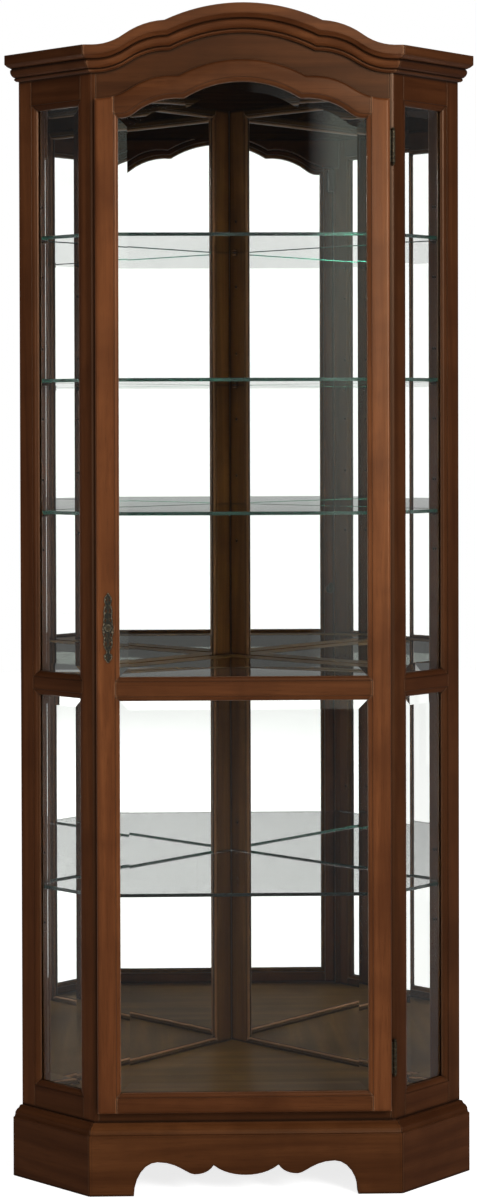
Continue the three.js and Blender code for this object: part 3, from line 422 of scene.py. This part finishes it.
# The fixed middle shelf is tinted dark green: painted shade, for the dim room seen through it at a
# glancing angle.
shaded_fixed_glass = float_glass("middle_shelf_glass", (0.58, 0.64, 0.58))
edge_glass = float_glass("shelf_edge_glass", (0.06, 0.36, 0.24), 0.25)
sharp_bevel = 1.0  # degrees: a bevel of three is still a crisp line in the glass
panes = [f"{hand}_{place}_side_glass" for hand in ("left", "right")
         for place in ("lower", "upper")]
for node in panes:
    worked_copy(node, pane_glass, "case", 0, sharp_bevel)
for node in ("door_lower_glass", "door_upper_glass"):
    worked_copy(node, pane_glass, "door", 0, sharp_bevel)

# The glazing beads: a quarter-round strip of cherry, mitred round the back of each pane, that
# holds it in its rebate. Each is pinned from inside, so the panes lift out with their beads.
bead_profile = ((0.3, 0.1), (7.3, 0.1), (7.3, 1.6), (6.9, 3.1), (5.9, 4.6), (4.4, 5.7), (2.6, 6.2),
                (0.3, 6.3))  # millimetres in from the pane's edge, and off its back


def glazing_bead(pane, wood, body):
    """Runs the profile round the inner face of a pane, with a mitre at each corner."""
    back = max(pane.data.polygons, key=lambda face: face.area)
    edge = [pane.data.vertices[index].co.copy() for index in back.vertices]
    strip = bmesh.new()
    rings = []
    for index, corner in enumerate(edge):
        before = (corner - edge[index - 1]).normalized()
        after = (edge[(index + 1) % len(edge)] - corner).normalized()
        first, second = back.normal.cross(before), back.normal.cross(after)
        mitre = (first + second) / (1.0 + first.dot(second))
        rings.append([strip.verts.new(corner + (mitre * inward + back.normal * out) * 0.001)
                      for inward, out in bead_profile])
    for index, ring in enumerate(rings):
        before = rings[index - 1]
        for place in range(len(ring)):
            strip.faces.new((before[place - 1], before[place], ring[place], ring[place - 1]))
    bmesh.ops.recalc_face_normals(strip, faces=strip.faces)
    for face in strip.faces:
        face.smooth = True
    for side in strip.edges:
        side.smooth = side.calc_face_angle(0.0) < math.radians(35)
    mesh = bpy.data.meshes.new(pane.name.replace("glass_made", "bead"))
    strip.to_mesh(mesh)
    strip.free()
    mesh.materials.append(wood)
    bead = bpy.data.objects.new(mesh.name, mesh)
    bpy.context.scene.collection.objects.link(bead)
    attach(bead, body)


for node in panes:
    glazing_bead(bpy.data.objects[node + "_made"], inner_upright, "case")
for place in ("lower", "upper"):
    glazing_bead(bpy.data.objects[f"door_{place}_glass_made"], inner_upright, "door")

# The shelves: four loose ones on pins, and the fixed one framed at the middle rails.
for node in ("glass_shelf_lower", "glass_shelf_first", "glass_shelf_second",
             "glass_shelf_third", "middle_shelf_glass"):
    shelf = worked_copy(node, shaded_fixed_glass if node == "middle_shelf_glass" else shelf_glass,
                        "case", 0, sharp_bevel)
    shelf.data.materials.append(edge_glass)
    for face in shelf.data.polygons:
        face.material_index = 0 if abs(face.normal.z) > 0.5 else 1

# The mirrors that line both walls, of silvered drawn glass, which is never quite flat, and the
# brown hardboard behind them that keeps them in the rebates of their frames.
mirror_wave = 0.0012


def silvering(hand):
    finish = Finish(f"silvering_{hand}")
    place = finish.node("ShaderNodeTexCoord", None, out=3)
    wave = finish.node("ShaderNodeTexNoise", None, place, Scale=2.6, Detail=1.0)
    bloom = finish.node("ShaderNodeTexNoise", None, place, Scale=14.0, Detail=5.0, Roughness=0.7)
    facing = finish.node("ShaderNodeNewGeometry", None, out=1)
    level = finish.node("ShaderNodeVectorMath", {"operation": "CROSS_PRODUCT"}, (0, 0, 1), facing)
    lean = finish.node("ShaderNodeVectorMath", {"operation": "SCALE"}, level,
                       Scale=(wave - 0.5) * mirror_wave)
    normal = finish.node("ShaderNodeVectorMath", {"operation": "NORMALIZE"}, finish.node(
        "ShaderNodeVectorMath", {"operation": "ADD"}, facing, lean))
    return finish.surface(finish.node(
        "ShaderNodeBsdfPrincipled", None,
        Base_Color=finish.mixed(((bloom - 0.55) * 5.0).limited(), (0.985, 0.992, 0.988),
                                (0.965, 0.975, 0.968)),
        Metallic=1.0, Roughness=((bloom - 0.58) * 0.06).limited(), Normal=normal))


board = Finish("hardboard")
fibre = board.node("ShaderNodeTexNoise", None, board.node("ShaderNodeTexCoord", None, out=3),
                   Scale=260.0, Detail=6.0, Roughness=0.75, Distortion=0.6)
stained_patch = board.node("ShaderNodeTexNoise", None, board.node(
    "ShaderNodeTexCoord", None, out=3), Scale=4.5, Detail=4.0)
pressed = board.mixed(((fibre - 0.38) * 3.2).limited(), (0.105, 0.058, 0.030),
                      (0.225, 0.140, 0.082))
board.surface(board.node(
    "ShaderNodeBsdfPrincipled", None,
    Base_Color=board.mixed(((stained_patch - 0.48) * 3.0).limited() * 0.35, pressed,
                           (0.085, 0.047, 0.026)),
    Roughness=0.62 + fibre * 0.26, Specular_IOR_Level=0.3,
    Normal=board.node("ShaderNodeBump", None, Strength=0.22, Distance=0.0003, Height=fibre)))
for hand in ("left", "right"):
    worked_copy(f"back_{hand}_mirror", silvering(hand), "case", 0)
    worked_copy(f"back_{hand}_board", board.material, "case", 0)

# The pins that hold the hardboard: small steel heads, driven in rows round the edge of each
# board at an even spacing, with no two quite alike.
pin_inset, pin_spacing, pin_radius, pin_proud = 0.007, 0.095, 0.0021, 0.0007
smallest_pin, largest_pin = 0.90, 1.08


def plated_steel(name, shade):
    """Drawn steel; shade is how bright its plating still is."""
    finish = Finish(name)
    place = finish.node("ShaderNodeMapping", None, finish.node("ShaderNodeTexCoord", None, out=3),
                        Scale=(1.0, 1.0, 0.04))
    drawn = finish.node("ShaderNodeTexNoise", None, place, Scale=1400.0, Detail=3.0)
    return finish.surface(finish.node(
        "ShaderNodeBsdfPrincipled", None,
        Base_Color=finish.mixed(drawn, [shade * 0.84] * 3, [shade * 1.16] * 3), Metallic=1.0,
        Roughness=0.30 + drawn * 0.22))


steel = plated_steel("plated_steel", 0.50)


def pinned_along():
    """Sets a pin head at each step along the edges of a wire, facing one way."""
    tree = bpy.data.node_groups.new("pinned_along", "GeometryNodeTree")
    tree.interface.new_socket("Geometry", in_out="INPUT", socket_type="NodeSocketGeometry")
    for name, kind in (("Spacing", "NodeSocketFloat"), ("Radius", "NodeSocketFloat"),
                       ("Proud", "NodeSocketFloat"), ("Facing", "NodeSocketVector"),
                       ("Seed", "NodeSocketInt"), ("Finish", "NodeSocketMaterial")):
        tree.interface.new_socket(name, in_out="INPUT", socket_type=kind)
    tree.interface.new_socket("Geometry", in_out="OUTPUT", socket_type="NodeSocketGeometry")

    def step(kind, settings=None, **links):
        made = tree.nodes.new(kind)
        for key, value in (settings or {}).items():
            setattr(made, key, value)
        for name, value in links.items():
            socket = made.inputs[name.replace("_", " ")]
            if isinstance(value, bpy.types.NodeSocket):
                tree.links.new(value, socket)
            else:
                socket.default_value = value
        return made.outputs

    given = tree.nodes.new("NodeGroupInput").outputs
    wire = step("GeometryNodeMeshToCurve", Mesh=given["Geometry"])["Curve"]
    places = step("GeometryNodeResampleCurve", {"mode": "LENGTH"}, Curve=wire,
                  Length=given["Spacing"])["Curve"]
    head = step("GeometryNodeMeshCylinder", Vertices=12, Radius=given["Radius"],
                Depth=given["Proud"])["Mesh"]
    facing = step("FunctionNodeAlignRotationToVector", {"axis": "Z"},
                  Vector=given["Facing"])["Rotation"]
    unlike = tree.nodes.new("FunctionNodeRandomValue")
    unlike.data_type = "FLOAT"
    number = [socket for socket in unlike.inputs if socket.type == "VALUE" and socket.enabled]
    number[0].default_value, number[1].default_value = smallest_pin, largest_pin
    tree.links.new(given["Seed"], unlike.inputs["Seed"])
    size = next(socket for socket in unlike.outputs if socket.enabled)
    heads = step("GeometryNodeInstanceOnPoints", Points=places, Instance=head,
                 Rotation=facing, Scale=size)["Instances"]
    solid = step("GeometryNodeRealizeInstances", Geometry=heads)["Geometry"]
    dressed = step("GeometryNodeSetMaterial", Geometry=solid, Material=given["Finish"])["Geometry"]
    tree.links.new(dressed, tree.nodes.new("NodeGroupOutput").inputs[0])
    return tree


pin_tree = pinned_along()
pin_form = bmesh.new()
for hand, outward in (("left", Vector((-turn, turn, 0))), ("right", Vector((turn, turn, 0)))):
    node = frame["nodes"][f"back_{hand}_board"]
    corners = [node.matrix_world @ vertex.co for vertex in node.data.vertices]
    run = Vector((-outward.y, outward.x, 0))
    reach = [corner.dot(run) for corner in corners]
    face = max(corner.dot(outward) for corner in corners)
    low_z, high_z = min(corner.z for corner in corners), max(corner.z for corner in corners)
    ends = (min(reach) + pin_inset, max(reach) - pin_inset)
    levels = (low_z + pin_inset, high_z - pin_inset)
    wire = bpy.data.meshes.new("pin_wire")
    wire.from_pydata([run * end + outward * (face + pin_proud / 2) + Vector((0, 0, level))
                      for end, level in ((ends[0], levels[0]), (ends[1], levels[0]),
                                         (ends[1], levels[1]), (ends[0], levels[1]))],
                     [(0, 1), (1, 2), (2, 3), (3, 0)], [])
    drawing = bpy.data.objects.new("pin_wire", wire)
    bpy.context.scene.collection.objects.link(drawing)
    setter = drawing.modifiers.new("pins", "NODES")
    setter.node_group = pin_tree
    values = {"Spacing": pin_spacing, "Radius": pin_radius, "Proud": pin_proud,
              "Facing": outward, "Seed": 7, "Finish": steel}
    for item in pin_tree.interface.items_tree:
        if item.in_out == "INPUT" and item.name in values:
            setter[item.identifier] = values[item.name]
    pin_form.from_mesh(bpy.data.meshes.new_from_object(
        drawing.evaluated_get(bpy.context.evaluated_depsgraph_get())))
    bpy.data.objects.remove(drawing)
pin_mesh = bpy.data.meshes.new("board_pins")
pin_form.to_mesh(pin_mesh)
pin_form.free()
pin_mesh.materials.append(steel)
pins = bpy.data.objects.new("board_pins", pin_mesh)
bpy.context.scene.collection.objects.link(pins)
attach(pins, "case")

# The hinges, the lock and its plate, in brass that was darkened and rubbed bright on its edges.
def old_brass(name, age):
    """Brass gone brown; age is how far the dark has spread from the hollows over the flats."""
    finish = Finish(name)
    place = finish.node("ShaderNodeTexCoord", None, out=3)
    tarnish = finish.node("ShaderNodeTexNoise", None, place, Scale=300.0, Detail=5.0,
                          Roughness=0.65)
    hollow = finish.node("ShaderNodeAmbientOcclusion", {"samples": 8}, out=1, Distance=0.002)
    arris = finish.node("ShaderNodeAmbientOcclusion", {"samples": 8, "inside": True}, out=1,
                        Distance=0.0008)
    dark = ((tarnish - 0.5) * 3.0 + age + (1.0 - hollow)).limited()
    worn = ((0.72 - arris) * 3.5).limited() * ((tarnish - 0.40) * 4.0).limited()
    coloured = finish.mixed(dark, (0.165, 0.118, 0.060), (0.020, 0.019, 0.013))
    coloured = finish.mixed(worn, coloured, (0.48, 0.40, 0.27))
    return finish.surface(finish.node(
        "ShaderNodeBsdfPrincipled", None, Base_Color=coloured, Metallic=1.0 - dark * 0.45,
        Roughness=0.34 + dark * 0.26, Normal=finish.node(
            "ShaderNodeBump", None, Strength=0.25, Distance=0.0002, Height=tarnish)))


hinge_brass = old_brass("hinge_brass", 0.70)
plate_brass = old_brass("plate_brass", 0.95)
for place in ("upper", "lower"):
    worked_copy(f"{place}_hinge_case_leaf", hinge_brass, "case", 0)
    worked_copy(f"{place}_hinge_pin", hinge_brass, "case", 0)
    worked_copy(f"{place}_hinge_door_leaf", hinge_brass, "door", 0)
worked_copy("lock_body", hinge_brass, "door", 0)
worked_copy("lock_plug", hinge_brass, "lock", 0)

# The escutcheon: a thin cast plate in the rococo manner, pierced, with a rim and paired scrolls
# standing proud of its ground, and a fleuron at each end. Millimetres from the plate's middle.
plate_half = ((0, 59), (2.0, 56), (5.4, 51), (6.2, 46.5), (5.0, 41.5), (3.9, 37.5), (6.3, 32.5),
              (7.3, 26), (6.5, 20), (7.6, 13.5), (7.5, 8), (8.6, 2.5), (8.8, -4), (8.4, -11),
              (6.8, -16), (7.4, -22), (7.2, -28), (5.4, -34.5), (2.3, -40.5), (3.1, -43.5),
              (6.7, -46.5), (6.1, -51), (3.0, -55.5), (0, -59))
piercings = ((2.6, 47, 1.2, 2.8), (3.4, 28.5, 1.2, 4.4), (4.4, 12.5, 1.2, 3.4),
             (4.8, -11.5, 1.3, 3.2), (3.6, -26, 1.3, 4.6), (3.0, -49, 1.2, 1.8))
# Above: where, then half as wide and half as high. Below: where, how big and which way it curls.
scrolls = ((4.3, 48, 1.1, 1), (5.0, 35, 1.3, -1), (5.5, 25, 1.4, 1), (5.9, 16, 1.3, -1),
           (6.6, 6.5, 1.3, 1), (6.7, -7, 1.5, -1), (5.6, -16.5, 1.2, 1), (5.7, -24, 1.3, -1),
           (4.9, -32, 1.3, 1), (4.7, -47.5, 1.2, -1))
scroll_turns, scroll_steps = 1.35, 12


def smooth_spline(curve, points, closed):
    spline = curve.splines.new("BEZIER")
    spline.bezier_points.add(len(points) - 1)
    for knot, (across, upward) in zip(spline.bezier_points, points):
        knot.co = (across * 0.001, upward * 0.001, 0)
        knot.handle_left_type = knot.handle_right_type = "AUTO"
    spline.use_cyclic_u = closed
    spline.resolution_u = 3


ground_proud, relief_proud = 0.00043, 0.00086
rim = [*plate_half, *((-across, upward) for across, upward in reversed(plate_half[1:-1]))]
ground = bpy.data.curves.new("plate_ground", "CURVE")
ground.dimensions, ground.fill_mode = "2D", "BOTH"
ground.extrude, ground.bevel_depth, ground.bevel_resolution = 0.00030, 0.00012, 0
relief = bpy.data.curves.new("plate_relief", "CURVE")
relief.dimensions, relief.bevel_depth, relief.bevel_resolution = "3D", 0.00034, 1
smooth_spline(ground, rim, True)
smooth_spline(relief, [(across * 0.95, upward * 0.992) for across, upward in rim], True)
bore, collar = 4.9, 5.5  # the hole round the plug, and the ring cast about it
for curve, radius in ((ground, bore), (relief, collar)):
    smooth_spline(curve, [(radius * math.cos(step * math.pi / 4),
                           radius * math.sin(step * math.pi / 4)) for step in range(8)], True)
for hand in (-1, 1):
    for across, upward, half_wide, half_high in piercings:
        smooth_spline(ground, [(hand * across + half_wide * math.cos(step * math.pi / 3),
                                upward + half_high * math.sin(step * math.pi / 3))
                               for step in range(6)], True)
    for across, upward, radius, way in scrolls:
        smooth_spline(relief, [
            (hand * (across + radius * (1 - 0.75 * part) * math.cos(turning)),
             upward + radius * (1 - 0.75 * part) * 1.25 * math.sin(turning))
            for part in (step / scroll_steps for step in range(scroll_steps + 1))
            for turning in (way * (math.tau * scroll_turns * part - math.pi / 2),)], False)
plate_node = frame["nodes"]["lock_escutcheon"]
plate_corners = [plate_node.matrix_world @ Vector(corner) for corner in plate_node.bound_box]
plate_middle = sum(plate_corners, Vector()) / len(plate_corners)
plate_back = max(corner.y for corner in plate_corners)
plate_form = bmesh.new()
for curve, proud in ((ground, ground_proud), (relief, relief_proud)):
    drawing = bpy.data.objects.new(curve.name, curve)
    bpy.context.scene.collection.objects.link(drawing)
    cast = bpy.data.meshes.new_from_object(drawing.evaluated_get(
        bpy.context.evaluated_depsgraph_get()))
    cast.transform(Matrix.Translation((plate_middle.x, plate_back - proud, plate_middle.z))
                   @ Matrix.Rotation(math.pi / 2, 4, "X"))
    plate_form.from_mesh(cast)
    bpy.data.objects.remove(drawing)
for face in plate_form.faces:
    face.smooth = True
plate_mesh = bpy.data.meshes.new("lock_escutcheon_made")
plate_form.to_mesh(plate_mesh)
plate_form.free()
plate_mesh.materials.append(plate_brass)
plate = bpy.data.objects.new("lock_escutcheon_made", plate_mesh)
bpy.context.scene.collection.objects.link(plate)
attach(plate, "door")
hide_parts("lock_escutcheon")

# The catch: a moulded brown block inside the left post, and the dulled steel plate on the back
# of the door that its magnet holds.
catch_plastic = Finish("catch_plastic")
speck = catch_plastic.node("ShaderNodeTexNoise", None, catch_plastic.node(
    "ShaderNodeTexCoord", None, out=3), Scale=900.0, Detail=2.0)
catch_plastic.surface(catch_plastic.node(
    "ShaderNodeBsdfPrincipled", None,
    Base_Color=catch_plastic.mixed(speck, (0.030, 0.016, 0.009), (0.046, 0.026, 0.015)),
    Roughness=0.48 + speck * 0.12))
worked_copy("door_catch", catch_plastic.material, "case", 0.0004)
worked_copy("catch_strike", plated_steel("strike_steel", 0.13), "door", 0)

bpy.context.view_layer.update()
